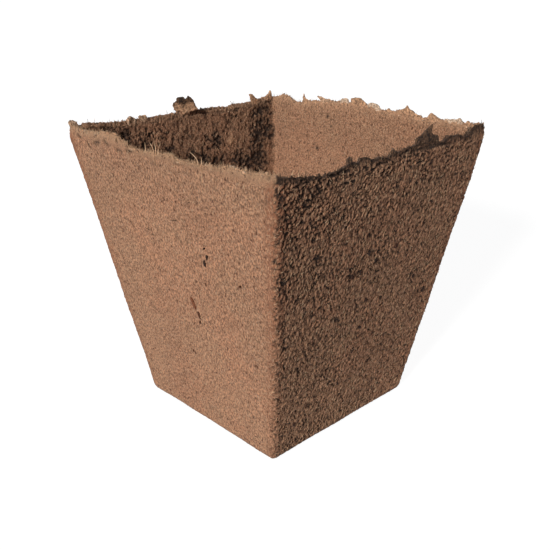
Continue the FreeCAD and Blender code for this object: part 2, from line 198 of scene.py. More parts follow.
# Loose fibres of the torn edge: share of the wall, share of fibre_length,
# and lean outwards and along the wall as shares of the fibre's own length
fibre_length = 2.4 * mm
fibre_radius = 0.2 * mm
fibre_root_depth = 1.5 * mm
fibre_inset_share = 0.3
FIBRE_SHARES = {
    "front": (
        (0.341, 0.6, 0.1, 0.25), (0.436, 0.9, 0.05, 0.02), (0.477, 0.95, 0.15, -0.45),
        (0.488, 1.2, 0.1, -0.08), (0.499, 1, 0.15, 0.65), (0.683, 0.9, 0.1, -1.1),
        (0.699, 0.65, 0.05, 0.05), (0.878, 0.5, 0.1, 0.1),
    ),
    "right": ((0.06, 0.55, 0.1, 0.15), (0.085, 0.45, 0.15, -0.2)),
}

# Single strands that lie on the front wall, from end to end: shares of the wall and of band_bottom
strand_radius = 0.09 * mm
PALE_STRAND_SHARES = (((0.712, 1.03), (0.699, 0.967)), ((0.492, 1.018), (0.486, 0.985)))
DARK_STRAND_SHARES = (((0.51, 0.809), (0.551, 0.818)), ((0.346, 0.748), (0.375, 0.743)))

# Bark pressed into the outside: share of the wall, share of band_bottom,
# shares of bark_length and bark_width, slant as a share of a quarter turn, and how light it is
bark_length = 3.0 * mm
bark_width = 1.0 * mm
bark_proud = 0.25 * mm
BARK_SHARES = {
    "front": (
        (0.557, 0.52, 1.05, 1.1, 0.24, 0.95), (0.58, 0.483, 0.72, 0.55, 0.24, 0.35),
        (0.579, 0.454, 0.32, 0.7, 0.1, 0.2), (0.663, 0.698, 0.63, 0.65, 0.22, 0),
        (0.68, 0.722, 0.45, 0.5, -0.12, 0.05), (0.671, 0.75, 0.22, 0.55, 0, 0.1),
        (0.834, 0.662, 0.25, 0.55, 0.3, 0.3), (0.494, 0.316, 0.28, 0.5, -0.3, 0.45),
    ),
    "right": (
        (0.446, 0.707, 0.42, 1, 0.1, 0), (0.494, 0.669, 0.6, 0.45, -0.35, 0),
        (0.371, 0.641, 0.45, 0.8, 0, 0.1), (0.415, 0.645, 0.55, 0.5, 0.05, 0),
        (0.6, 0.696, 0.55, 0.7, -0.35, 0.2), (0.479, 0.525, 0.42, 0.6, -0.4, 0),
        (0.427, 0.518, 0.48, 0.6, 0.1, 0.1), (0.48, 0.42, 0.32, 0.8, 0.3, 0),
        (0.579, 0.365, 0.34, 0.5, -0.3, 0.2), (0.779, 0.54, 0.36, 1.1, -0.4, 0),
        (0.893, 0.458, 0.6, 0.95, 0, 0), (0.459, 0.334, 0.62, 0.7, -0.15, 0),
        (0.398, 0.211, 0.34, 0.5, -0.3, 0), (0.125, 0.13, 0.55, 0.7, 0.2, 0.1),
    ),
}

# From inside a chip of bark out: share of bark_proud, and share of its size
BARK_LAYER_SHARES = ((-1.6, 0.7), (-0.3, 0.96), (0.35, 1), (0.8, 0.86), (1, 0.55), (1.05, 0.2))

# Dark spots in the pulp of the front wall and of the inside of the back one, loose, pitted patches of the
# outside of the right wall and of the inside of the left one, which get painted shade, and a lump on the
# inside of the left
# one, which gets a painted highlight: shares of the wall and of band_bottom, and each one's size as a share
# of the radius
spot_radius = 0.42 * mm
SPOT_SHARES = {
    ("front", 0): (
        (0.544, 0.743, 1), (0.849, 0.665, 0.9), (0.674, 0.352, 1), (0.867, 0.157, 1), (0.225, 0.752, 0.9),
        (0.381, 0.729, 0.8), (0.643, 0.719, 0.8),
    ),
    ("back", wall): ((0.321, 0.995, 1.2), (0.279, 0.86, 1.3), (0.343, 0.957, 0.8)),
}
patch_radius = 3.6 * mm
PATCH_SHARES = {
    ("right", 0): (
        (0.04, 0.985, 1), (0.085, 0.975, 1), (0.15, 0.985, 0.9), (0.11, 0.935, 0.8), (0.047, 0.9, 0.8),
        (0.182, 0.861, 0.7), (0.353, 0.934, 0.6), (0.23, 1, 0.8), (0.3, 1.01, 0.7), (0.38, 1, 0.8),
        (0.472, 1.01, 0.8), (0.56, 1, 0.8), (0.65, 1.01, 0.9), (0.497, 0.779, 0.5), (0.57, 0.869, 0.5),
        (0.677, 0.929, 0.4), (0.44, 0.707, 0.4), (0.176, 0.746, 0.6), (0.03, 0.716, 0.8),
        (0.18, 0.683, 0.6), (0.386, 0.651, 0.6), (0.8, 1.01, 0.8), (0.778, 0.543, 0.4),
        (0.883, 0.469, 0.5), (0.11, 0.634, 0.5),
    ),
    ("left", wall): (
        (0.9, 1, 0.8), (0.89, 0.94, 1), (0.88, 0.875, 1), (0.86, 0.805, 1.1), (0.808, 0.783, 0.9),
        (0.751, 0.812, 0.7), (0.557, 0.83, 1), (0.5, 0.86, 0.7), (0.63, 0.81, 0.8), (0.144, 1.018, 0.9),
        (0.21, 0.985, 0.8), (0.39, 0.895, 0.6), (0.29, 0.935, 0.6), (0.07, 1.02, 0.9), (0.64, 0.9, 0.6),
        (0.93, 0.9, 1.2),
    ),
}
lump_radius = 1.3 * mm
# How strongly the lump gets a painted highlight in the pale colour of the torn rim
lump_highlight_share = 0.7
LUMP_SHARES = {("left", wall): ((0.713, 0.886, 1),)}

# Creases and cracks of the outside, from end to end
crease_width = 0.42 * mm
CREASE_SHARES = {
    "front": (
        ((0.119, 0.999), (0.125, 0.983)), ((0.292, 0.999), (0.314, 0.998)),
        ((0.342, 1.006), (0.365, 1.008)), ((0.22, 1.021), (0.237, 1.01)), ((0.06, 1.02), (0.076, 1.012)),
        ((0.16, 1.006), (0.186, 1.01)),
    ),
    "right": (
        ((0.575, 1.018), (0.7, 1.019)), ((0.7, 1.019), (0.79, 1.012)), ((0.199, 1.006), (0.267, 1.01)),
        ((0.071, 1.002), (0.12, 1.007)), ((0.4, 1.006), (0.45, 1.004)),
    ),
}

# Mesh of the moulding: spacing of its points along the rim, up the walls and on the floor
rim_step = 0.25 * mm
height_step = 0.27 * mm
floor_step = 0.8 * mm
arc_cells = 8
edge_cells = 7
band_cells = 12
rim_cells = 10
thinning_share = 0.16
crown = 0.3 * mm

# Noise of the torn edge: height and width of each of its waves, and its spikes
TEAR_WAVES = ((0.24 * mm, 2.6 * mm), (0.3 * mm, 1.2 * mm), (0.24 * mm, 0.65 * mm))
spike_height = 0.65 * mm
spike_width = 0.75 * mm
tear_sink = 0.15 * mm
edge_fade = 2.0 * mm
crumble_height = 0.3 * mm
crumble_width = 0.7 * mm

# Noise of both faces: widths of its bumps, and how far they stand out or lie in
warp_width = 22 * mm
warp_height = 0.22 * mm
bend_width = 1.2 * mm
spot_depth = 0.1 * mm
rim_zone = 4 * mm
# Height over the floor in which the outer face gets a painted shadow at its foot
foot_shadow_zone = 1.4 * mm
outer_bend = 0.28 * mm
outer_pit_widths = (0.7 * mm, 0.42 * mm)
outer_pit_depth = 0.3 * mm
stroke_width = 0.45 * mm
stroke_height = 0.12 * mm
rim_stroke_height = 0.08 * mm
loose_stroke_height = 0.05 * mm
outer_felt_width = 1.1 * mm
outer_felt_height = 0.07 * mm
patch_width = 3.2 * mm
dot_width = 0.58 * mm
dot_depth = 0.25 * mm
crease_depth = 0.45 * mm
inner_bend = 0.25 * mm
inner_pit_widths = (1.15 * mm, 0.6 * mm)
inner_pit_depth = 0.38 * mm
inner_felt_width = 0.65 * mm
inner_felt_heights = (0.06 * mm, 0.11 * mm)
clod_width = 2.4 * mm
clod_heights = (0.04 * mm, 0.22 * mm)
clump_width = 4.5 * mm
lump_height = 0.45 * mm

# Noise of the flakes, bark and strands. A crumble has a height, a width and a step on from the seed
FLAKE_CRUMBLES = ((0.14 * mm, 0.75 * mm, 1), (0.08 * mm, 0.4 * mm, 4))
flake_bend_width = 1.6 * mm
curled_pale_width = 1.5 * mm
bark_noise_width = 0.7 * mm
strand_bend = 0.25 * mm

# Fine parts: how many, their least and greatest length, and a fibre's radius
FIBRES = {
    "pale_fibres_outside": (5600, (0.6 * mm, 1.8 * mm), 0.055 * mm),
    "brown_fibres_outside": (3000, (0.5 * mm, 2.0 * mm), 0.055 * mm),
    "pale_fibres_inside": (1800, (0.6 * mm, 2.6 * mm), 0.05 * mm),
    "frayed_rim_fibres": (2000, (0.4 * mm, 1.3 * mm), 0.05 * mm),
    "thick_rim_fibres": (800, (0.5 * mm, 1.3 * mm), 0.075 * mm),
}

# The same for crumbs, and each one's flatness and how pale it may be
CRUMBS = {
    "rim_crumbs": (420, (0.3 * mm, 1.0 * mm), 0.35, (0.4, 0.8)),
    "inner_crumbs": (420, (0.3 * mm, 1.0 * mm), 0.35, (0, 0.5)),
    "bark_specks": (150, (0.25 * mm, 0.6 * mm), 0.3, (0, 0.6)),
}

# Lamps: azimuth, elevation and width in degrees, strength and colour
LAMPS = {
    "key": (17.9, 21, 8, 3.2, (1.0, 0.985, 0.96)),
    "behind": (215, 25, 20, 0.9, (0.95, 0.97, 1.0)),
}

# Each wall's corners, counted round the pot from (-X, -Y), at the low and high end of its shares
WALL_ENDS = {"front": (0, 1), "right": (1, 2), "back": (3, 2), "left": (0, 3)}

# Columns of what each point of the moulding belongs to, then the torn edge's painted shade and its paleness,
# which is partly a painted highlight
OUTSIDE, INSIDE, TORN, WORN, TORN_SHADE, PALE = range(6)

# Direction that the pulp's strokes follow on the outside
lay = np.array((0, 0.25, 0.968))


def unit(vectors):
    """The same vectors at length one."""
    return vectors / np.linalg.norm(vectors, axis=-1, keepdims=True)


def mixed(low, high, share):
    return low + (high - low) * share


def steps(count):
    """Even shares from zero, short of one."""
    return np.arange(count) / count


def smooth_step(low, high, values):
    share = np.clip((values - low) / (high - low), 0, 1)
    return share * share * (3 - 2 * share)


def bumps(points, size, seed):
    """Smooth noise from about -1 to 1, with bumps about as wide as the size."""
    source = np.random.default_rng(seed)
    order = source.permutation(256)
    slopes = unit(source.normal(size=(256, 3)))
    cells = points / size
    base = np.floor(cells).astype(int)
    within = cells - base
    ease = within ** 3 * (within * (within * 6 - 15) + 10)
    total = np.zeros(points.shape[:-1])
    for corner in itertools.product((0, 1), repeat=3):
        at = base + corner
        key = order[at[..., 0] % 256]
        key = order[(key + at[..., 1]) % 256]
        key = order[(key + at[..., 2]) % 256]
        weight = np.prod(np.where(corner, ease, 1 - ease), axis=-1)
        total += weight * (slopes[key] * (within - corner)).sum(axis=-1)
    return total * 1.7


def layered_bumps(points, size, seed, layers=2):
    """Noise of several sizes, each half the one before."""
    return sum(bumps(points, size / 2 ** layer, seed + layer) / 2 ** layer for layer in range(layers))


def bump_vectors(points, size, seed):
    """Noise in all three directions."""
    return np.stack([bumps(points, size, seed + i) for i in range(3)], axis=-1)


# Shape of the moulding

def corner_points(z):
    """The four sharp outside corners at a height."""
    up = min(z / band_bottom, 1)
    half = (base_side + (rim_side - base_side) * up) / 2
    front = base_front_drift * (1 - up)
    back = rim_back_drift * up
    sharp = [(-half, -half), (half - front, -half - front), (half, half), (-half - back, half - back)]
    return np.array(sharp)


def outline(z, inset, radius, straight_cells):
    """Points round the pot at a height: an arc at each corner, then the wall after it."""
    corners = corner_points(z)
    to_last = unit(np.roll(corners, 1, axis=0) - corners)
    to_next = unit(np.roll(corners, -1, axis=0) - corners)
    middle = unit(to_last + to_next)
    half_angle = np.arccos((middle * to_next).sum(axis=1))[:, None]
    corners = corners + middle * inset / np.sin(half_angle)
    reach = radius / np.tan(half_angle)
    starts = corners + to_last * reach
    ends = corners + to_next * reach
    centres = corners + middle * radius / np.sin(half_angle)
    turns = ((math.pi - 2 * half_angle) * steps(arc_cells))[..., None]
    spokes = (starts - centres)[:, None]
    arcs = centres[:, None] + spokes * np.cos(turns) + spokes[..., ::-1] * (-1, 1) * np.sin(turns)
    runs = (np.roll(starts, -1, axis=0) - ends)[:, None] * steps(straight_cells)[:, None]
    return np.concatenate([arcs, ends[:, None] + runs], axis=1).reshape(-1, 2)


def wall_ends(name, z):
    return corner_points(z)[list(WALL_ENDS[name])]


def wall_frame(name, share, z):
    """A point on a wall's outer face, and the directions along the wall, up it and out of it."""
    low, high = wall_ends(name, z)
    low_above, high_above = wall_ends(name, z + wall)
    point = np.append(low + (high - low) * share, z)
    above = np.append(low_above + (high_above - low_above) * share, z + wall)
    along = unit(np.append(high - low, 0))
    up = unit(above - point)
    outward = unit(np.cross(along, up))
    if outward @ (point * (1, 1, 0)) < 0:
        outward = -outward
    return point, along, up, outward


def wall_point(name, place, inset=0):
    """The point on a wall at shares of its length and of band_bottom, and the way out of it."""
    point, along, up, outward = wall_frame(name, place[0], place[1] * band_bottom)
    return point - outward * inset, outward


def tear_height(name, share):
    """Height of a wall's torn edge at a share of its length."""
    places, rises = np.array(TEAR_SHARES[name]).T
    return band_bottom + tear_rise * np.interp(share, places, rises)


def rim_values(rim):
    """At each point round the rim, the torn height and its wall's TORN_SHARES."""
    values = np.zeros((5, len(rim)))
    per_wall = len(rim) // len(WALL_ENDS)
    for i, name in enumerate(WALL_ENDS):
        low, high = wall_ends(name, band_bottom)
        # A wall's columns run from the middle of one corner's arc to the middle of the next
        columns = (np.arange(per_wall) + i * per_wall + arc_cells // 2) % len(rim)
        shares = ((rim[columns] - low) @ (high - low)) / ((high - low) @ (high - low))
        values[0, columns] = tear_height(name, shares)
        values[1:, columns] = np.array(TORN_SHARES[name])[:, None]
    return values


def torn_profile(rim, rough, drop):
    """How far the outer and the inner edge of the tear wander up and down from the middle height."""
    sides = []
    for seed, down in ((11, 0), (23, drop)):
        wander = sum(height * bumps(rim, width, seed + i) for i, (height, width) in enumerate(TEAR_WAVES))
        spikes = spike_height * smooth_step(0.30, 0.75, bumps(rim, spike_width, seed + 3))
        sides.append((wander + spikes - tear_sink) * rough - down)
    return sides


def edge_shares(rim):
    """One at the upright corners, fading along the walls."""
    per_wall = len(rim) // len(WALL_ENDS)
    past = np.arange(per_wall) - arc_cells
    from_corner = np.minimum(np.maximum(past, 0), per_wall - arc_cells - past) * rim_step
    from_corner = np.where(past < 0, 0, from_corner)
    return np.tile(np.exp(-(from_corner / edge_fade) ** 2), len(WALL_ENDS))


def moulding_rows():
    """Rows of points over the whole surface, from the drain hole out, up, over the rim and back inside.

    With each row comes what it belongs to, as shares in the columns OUTSIDE to PALE.
    """
    straight_cells = round((rim_side - 2 * corner_radius) / rim_step)
    rows = []
    kinds = []

    def section(z, inset, radius):
        return outline(z, inset, max(radius, least_corner_radius), straight_cells)

    rim = section(band_bottom, 0, corner_radius)
    edge = edge_shares(rim)
    heights, rough, dark, pale, drop = rim_values(rim)
    rim_edge = np.column_stack([rim, heights])
    outer_edge, inner_edge = torn_profile(rim_edge, rough, drop * torn_drop)

    def add(plan, z, outside=0.0, inside=0.0, torn=0.0):
        rows.append(np.column_stack([plan, np.full(len(plan), z)]))
        shares = [np.full(len(plan), share) for share in (outside, inside, torn)]
        worn = edge * outside * np.clip(mixed(0.35, 1, z / band_bottom), 0, 1)
        # The torn edge's dark share is painted shade, and its pale share partly a painted highlight
        kinds.append(np.column_stack(shares + [worn, dark * torn, pale * torn]))

    def hole(plan):
        return unit(plan) * drain_hole_radius

    def rounded(share, radius):
        """How far in and how high a rounded bottom edge is, from its low end to its high one."""
        turn = share * math.pi / 2
        return radius * (1 - math.sin(turn)), radius * (1 - math.cos(turn))

    # Underside, from the drain hole to the bottom edge
    foot = section(0, base_edge_radius, corner_radius - base_edge_radius)
    floor_cells = round((base_side / 2 - drain_hole_radius) / floor_step)
    for share in steps(floor_cells):
        add(mixed(hole(foot), foot, share), 0, outside=0.5)
    for share in steps(edge_cells):
        more, z = rounded(share, base_edge_radius)
        add(section(z, more, corner_radius - more), z, outside=mixed(0.5, 1, share))

    # Outer face, and the upright band over it
    for share in steps(round((band_bottom - base_edge_radius) / height_step)):
        z = mixed(base_edge_radius, band_bottom, share)
        add(section(z, 0, corner_radius), z, outside=1)
    thinning = thinning_share * wall
    for share in steps(band_cells):
        plan = section(band_bottom, thinning * share ** 2, corner_radius)
        z = mixed(band_bottom, heights + outer_edge, share)
        add(plan, z, outside=1 - 0.5 * share ** 2, torn=share ** 2)

    # Torn edge, from the outer face to the inner one
    for share in steps(rim_cells):
        radius = mixed(corner_radius, inner_corner_radius, share)
        plan = section(band_bottom, mixed(thinning, wall - thinning, share), radius)
        hump = crown * math.sin(math.pi * share)
        add(plan, heights + mixed(outer_edge, inner_edge, share) + hump, torn=1)

    # Inner face, floor and the wall of the drain hole
    for share in steps(band_cells):
        plan = section(band_bottom, wall - thinning * (1 - share) ** 2, inner_corner_radius)
        z = mixed(heights + inner_edge, band_bottom, share)
        add(plan, z, inside=mixed(0.5, 1, share), torn=(1 - share) ** 2)
    inner_foot = floor_thickness + inner_floor_radius
    for share in steps(round((band_bottom - inner_foot) / height_step)):
        z = mixed(band_bottom, inner_foot, share)
        add(section(z, wall, inner_corner_radius), z, inside=1)
    for share in steps(edge_cells):
        more, rise = rounded(1 - share, inner_floor_radius)
        z = floor_thickness + rise
        add(section(z, wall + more, inner_corner_radius - more), z, inside=1)
    inner = section(floor_thickness, wall + inner_floor_radius, inner_corner_radius - inner_floor_radius)
    for share in steps(floor_cells):
        add(mixed(inner, hole(foot), share), floor_thickness, inside=1)
    for share in steps(round(floor_thickness / height_step)):
        add(hole(foot), mixed(floor_thickness, 0, share), outside=0.5)
    return np.array(rows), np.array(kinds)


def surface_directions(points):
    """Directions round the pot, along the profile and out of the surface, at each point of the grid."""
    around = unit(np.roll(points, -1, axis=1) - np.roll(points, 1, axis=1))
    onward = unit(np.roll(points, -1, axis=0) - np.roll(points, 1, axis=0))
    return around, onward, unit(np.cross(around, onward))


def spots(points, table, radius, inset):
    """One near each place of a table that lies on this side of its wall."""
    total = np.zeros(points.shape[:-1])
    uneven = 1 + 0.5 * bumps(points, 2 * radius, 91)
    for (name, depth), places in table.items():
        if depth != inset:
            continue
        for place in places:
            centre = wall_point(name, place, inset)[0]
            distance = np.linalg.norm(points - centre, axis=-1) / (radius * place[2] * uneven)
            total = np.maximum(total, np.exp(-distance ** 2))
    return total


def creases(points):
    """One along the creases of the outside."""
    total = np.zeros(points.shape[:-1])
    for name, lines in CREASE_SHARES.items():
        for ends in lines:
            start, end = (wall_point(name, place)[0] for place in ends)
            share = np.clip((points - start) @ (end - start) / ((end - start) @ (end - start)), 0, 1)
            nearest = start + share[..., None] * (end - start)
            distance = np.linalg.norm(points - nearest, axis=-1) / crease_width
            total = np.maximum(total, np.exp(-distance ** 2))
    return total


def hollows(points, widths, seed):
    """Noise of two sizes that is high where a pit is."""
    return -0.65 * bumps(points, widths[0], seed) - 0.55 * bumps(points, widths[1], seed + 2)


def outer_relief(points, outward):
    """How far the pressed outer face stands out, and how much painted shade it gets in its pits and dots,
    along its creases and at its foot, with the pulp's dark spots as well. The right wall is loosest, and as
    the key lamp only grazes it, it gets the most painted shade.
    """
    height = points[..., 2]
    right, back = np.maximum(outward[..., 0], 0), np.maximum(outward[..., 1], 0)
    near_rim = smooth_step(band_bottom - rim_zone, band_bottom + tear_rise, height)
    bent = points + outer_bend * bump_vectors(points, bend_width, 36)
    stretched = bent - 0.25 * (bent @ lay)[..., None] * lay
    shaded_patch = spots(points, PATCH_SHARES, patch_radius, 0)
    patches = smooth_step(-0.5, 0.6, layered_bumps(points, patch_width, 71)) + 1.2 * shaded_patch
    high = mixed(0.70, 1, np.clip(height / band_bottom, 0, 1))
    pit_and_shade = smooth_step(0.06 - 0.15 * shaded_patch, 0.24 - 0.15 * shaded_patch, hollows(stretched, outer_pit_widths, 51))
    # Painted shade as well as depth: the pits grow on the right wall, in its patches and higher up
    pit_and_shade = pit_and_shade * np.clip(0.58 + 0.70 * patches, 0, 1.3) * (0.20 + 0.80 * right + 0.20 * back) * high
    # Near-black dents on the right wall only, painted as shade for the light that grazes it
    dots = smooth_step(0.29, 0.46, -bumps(stretched, dot_width, 57)) * right
    # Painted shadow along the foot, most on the right wall
    foot = smooth_step(foot_shadow_zone, 0, height) * (0.3 + 0.4 * right)
    dark = spots(points, SPOT_SHARES, spot_radius, 0)
    crease = creases(points)
    strokes = stroke_height + rim_stroke_height * near_rim + loose_stroke_height * shaded_patch
    out = strokes * bumps(stretched, stroke_width, 41)
    out += outer_felt_height * bumps(stretched, outer_felt_width, 43)
    out += warp_height * layered_bumps(points, warp_width, 31)
    out -= outer_pit_depth * pit_and_shade + dot_depth * dots + spot_depth * dark + crease_depth * crease
    # The second value is the painted shade, with the pulp's own dark spots in it
    return out, np.clip(pit_and_shade + dots + foot + 0.9 * dark + 0.8 * crease, 0, 1)


def inner_relief(points, outward):
    """The same for the inner face, which is loosest on the left wall and smoothest on the back one. All of
    the inside gets painted shade, most of all the left wall, which is in shade, and its patches near the back
    corner.
    """
    rough = np.clip(0.50 + 0.50 * np.maximum(outward[..., 0], 0) + 0.35 * outward[..., 1], 0.1, 1)
    rough = rough * (1 - 0.5 * smooth_step(0.5, 0.9, outward[..., 2]))
    bent = points + inner_bend * bump_vectors(points, bend_width, 33)
    shaded_patch = spots(points, PATCH_SHARES, patch_radius, wall)
    lump = spots(points, LUMP_SHARES, lump_radius, wall)
    clumps = smooth_step(-0.1, 0.7, bumps(points, clump_width, 63)) + 1.5 * shaded_patch
    pit_and_shade = smooth_step(0.04 - 0.25 * shaded_patch, 0.30 - 0.25 * shaded_patch, hollows(bent, inner_pit_widths, 52))
    pit_and_shade = pit_and_shade * np.clip(0.45 + 0.5 * clumps, 0, 1.3)
    dark = spots(points, SPOT_SHARES, spot_radius, wall)
    out = mixed(*inner_felt_heights, rough) * layered_bumps(bent, inner_felt_width, 44)
    out += mixed(*clod_heights, rough) * bumps(bent, clod_width, 61) + lump_height * lump
    out -= inner_pit_depth * rough * pit_and_shade + spot_depth * dark
    out -= warp_height * layered_bumps(points, warp_width, 31)
    # Painted shade over all the inside, more on the rough left wall, in pits and patches, and none at the
    # lump
    deep = mixed(0.21, 0.08, rough) + rough * (0.14 + 0.85 * pit_and_shade + 0.50 * shaded_patch) + 0.9 * dark - 1.2 * lump
    return out, np.clip(deep, 0, 1)


def relief(points, kinds, outward):
    """How far each point of the surface stands out, and how much painted shade it gets in pits, in hollows
    and on shaded rims.
    """
    out, deep = np.zeros((2,) + points.shape[:2])
    for kind, shape in ((OUTSIDE, outer_relief), (INSIDE, inner_relief)):
        held = kinds[:, 0, kind] > 0
        more, pit_and_shade = shape(points[held], outward[held])
        out[held] += more * kinds[held][..., kind]
        deep[held] += pit_and_shade * kinds[held][..., kind]
    held = kinds[:, 0, TORN] > 0
    torn = kinds[held][..., TORN]
    crumble = layered_bumps(points[held], crumble_width, 81)
    out[held] += crumble_height * crumble * torn
    # Painted shade in the crumbled hollows of the torn edge, and on the shaded rims
    deep[held] += 0.6 * smooth_step(0.15, 0.7, -crumble) * torn + kinds[held][..., TORN_SHADE]
    return out, np.clip(deep, 0, 1)


# Meshes

def add_piece(name, points, faces, material, replaced=(), values=()):
    """One closed piece on the pot's body, with its values stored at its points."""
    mesh = bpy.data.meshes.new(name)
    mesh.from_pydata(points.tolist(), [], faces)
    mesh.validate()
    mesh.polygons.foreach_set("use_smooth", np.full(len(mesh.polygons), True))
    mesh.materials.append(material)
    for title, numbers in dict(values).items():
        attribute = mesh.attributes.new(title, "FLOAT", "POINT")
        attribute.data.foreach_set("value", np.asarray(numbers, dtype=np.float32).ravel())
    piece = bpy.data.objects.new(name, mesh)
    bpy.context.scene.collection.objects.link(piece)
    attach(piece, "root")
    # A material whose name is already held by one of the frame's gets a number after a dot
    if replaced:
        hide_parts(*replaced)
    return piece


def cell_corners(rows, columns):
    """Row and column of the four corners of each cell of a grid."""
    row, column = np.indices((rows, columns))
    corners = [row, row, row + 1, row + 1], [column, column + 1, column + 1, column]
    return [np.stack(places, axis=-1).reshape(-1, 4) for places in corners]


def make_moulding(material):
    """The moulding, with a map of it as one rectangle: round the pot by along its profile."""
    rows, kinds = moulding_rows()
    outward = surface_directions(rows)[2]
    out, deep = relief(rows, kinds, outward)
    points = rows + outward * out[..., None]
    points[..., 2] = np.maximum(points[..., 2], 0)
    # The lump inside the left wall gets a painted highlight, stored with the torn edge's paleness, which is
    # partly a painted highlight too; the painted shade is stored with the pits
    lump_highlight = lump_highlight_share * kinds[..., INSIDE] * spots(rows, LUMP_SHARES, lump_radius, wall)
    pale = np.maximum(kinds[..., PALE], lump_highlight)
    values = {"pit_and_shade": deep, "outside": kinds[..., OUTSIDE], "torn": pale, "edge": kinds[..., WORN]}
    high, wide = rows.shape[:2]
    row, column = cell_corners(high, wide)
    faces = (row % high * wide + column % wide).tolist()
    piece = add_piece("moulding", points.reshape(-1, 3), faces, material, ["pot_body"], values)
    layer = piece.data.uv_layers.new(name="OFBake")
    layer.data.foreach_set("uv", np.stack([column / wide, row / high], axis=-1).astype(np.float32).ravel())
    return points, surface_directions(points), kinds


def tube_faces(count, rings, sides):
    """Faces of many tubes of the same build, each with a fan at both ends."""
    size = rings * sides + 2
    row, column = cell_corners(rings - 1, sides)
    quads = row * sides + column % sides
    side = np.arange(sides)
    beside = (side + 1) % sides
    last = (rings - 1) * sides
    first_fan = [np.full(sides, size - 2), beside, side]
    last_fan = [np.full(sides, size - 1), last + side, last + beside]
    fans = np.stack(first_fan + last_fan, axis=-1).reshape(-1, 3)
    starts = np.arange(count)[:, None, None] * size
    return (quads + starts).reshape(-1, 4).tolist() + (fans + starts).reshape(-1, 3).tolist()


def loft_points(lofts):
    """Points of closed lofts: each one's rings, and the middle of its first and its last."""
    lofts = np.array(lofts)
    ends = lofts[:, [0, -1]].mean(axis=2)
    return np.concatenate([lofts.reshape(len(lofts), -1, 3), ends], axis=1).reshape(-1, 3)


def add_lofts(name, lofts, material, replaced=(), pale=()):
    """Several lofts of the same build as one piece. pale holds a number for each loft or each point."""
    points = loft_points(lofts)
    values = {"pale": np.repeat(pale, len(points) // len(pale))} if len(pale) else {}
    add_piece(name, points, tube_faces(*np.shape(lofts)[:3]), material, replaced, values)


def add_tubes(name, lines, radii, material, replaced=(), sides=5, seed=1):
    """Many thin tubes as one piece. lines holds each tube's points, and radii its radius at each."""
    lines = np.array(lines)
    tangents = unit(np.gradient(lines, axis=1))
    helper = unit(np.random.default_rng(seed).normal(size=(len(lines), 1, 3)))
    across = unit(np.cross(tangents, helper))
    through = np.cross(tangents, across)
    turns = 2 * math.pi * steps(sides)[:, None]
    rim = across[:, :, None] * np.cos(turns) + through[:, :, None] * np.sin(turns)
    add_lofts(name, lines[:, :, None] + rim * radii[:, :, None, None], material, replaced)


def evenly_round(corners, count):
    """Points at even steps along a closed outline of straight sides."""
    closed = np.vstack([corners, corners[:1]])
    gone = np.concatenate([[0], np.cumsum(np.linalg.norm(np.diff(closed, axis=0), axis=1))])
    places = steps(count) * gone[-1]
    return np.column_stack([np.interp(places, gone, closed[:, i]) for i in range(2)])


def flake_loft(name, place, size, lean, outline_shares, inset, root_depth, turn_share, seed, sides):
    """A ragged flake with rounded edges that stands on a wall's torn edge, its root inside the wall."""
    width, height, thickness = size
    point, along, up, outward = wall_frame(name, place, tear_height(name, place))
    turn = turn_share * math.pi / 2
    wide = along * math.cos(turn) - outward * math.sin(turn)
    through = outward * math.cos(turn) + along * math.sin(turn)
    rise = up + outward * lean
    foot = point - outward * inset
    corners = np.array(outline_shares) * (width, height)
    roots = [(corners[i][0], -root_depth) for i in (-1, 0)]
    edge = evenly_round(np.vstack([corners, roots]), sides)
    middle = edge.mean(axis=0)
    rings = []
    for size_share, depth_share in FLAKE_LAYER_SHARES:
        plan = middle + (edge - middle) * size_share
        flat = np.outer(plan[:, 0], wide) + np.outer(plan[:, 1], rise)
        rings.append(foot + flat + through * depth_share * thickness)
    rings = np.array(rings)
    bend = 0.30 * thickness * bumps(rings, flake_bend_width, seed)
    crumble = sum(deep * bump_vectors(rings, broad, seed + step) for deep, broad, step in FLAKE_CRUMBLES)
    return rings + through * bend[..., None] + crumble


def make_flakes(material):
    for number, (name, table) in enumerate(FLAKE_SHARES.items()):
        lofts = []
        for i, (place, thickness, lean, pale, outline_shares) in enumerate(table):
            size = (flake_width, flake_height, flake_thickness * thickness)
            seed = 100 * number + 11 * i
            lofts.append(flake_loft(name, place, size, lean, outline_shares, wall / 2, flake_root_depth, 0,
                                    seed, 84))
        pale = [row[3] for row in table]
        add_lofts("torn_flakes_" + name, lofts, material, ["torn_flakes_" + name + "_rim"], pale)


def make_corner_flake(material):
    """A small pale flake that hangs out at the front left corner."""
    size = (flake_width, flake_height, 0.6 * flake_thickness)
    root_depth = 0.4 * flake_root_depth
    loft = flake_loft("left", 0.022, size, 0.45, corner_outline_shares, 0.2 * wall, root_depth, 0, 950, 60)
    add_lofts("corner_flake", [loft], material, (), [0.75])


def make_curled_flake(material):
    """The large crumb on the left wall: painted shade darkens the lobes at its far upper side, and its lower
    middle is light.
    """
    size = (curled_flake_width, curled_flake_height, curled_flake_thickness)
    loft = flake_loft("left", curled_flake_place_share, size, curled_flake_lean_share, curled_outline_shares,
                      curled_flake_inset, curled_flake_root_depth, curled_flake_turn_share, 900, 150)
    points = loft_points([loft])
    up_share = (points[:, 2] - points[:, 2].min()) / np.ptp(points[:, 2])
    # Painted shade: darker towards the top, as if the upper lobes curl away from the key lamp
    pale = 0.50 - 0.60 * smooth_step(0.42, 0.76, up_share) + 0.35 * bumps(points, curled_pale_width, 95)
    add_lofts("curled_flake", [loft], material, ["curled_flake_left_rim"], np.clip(pale, 0, 0.7))


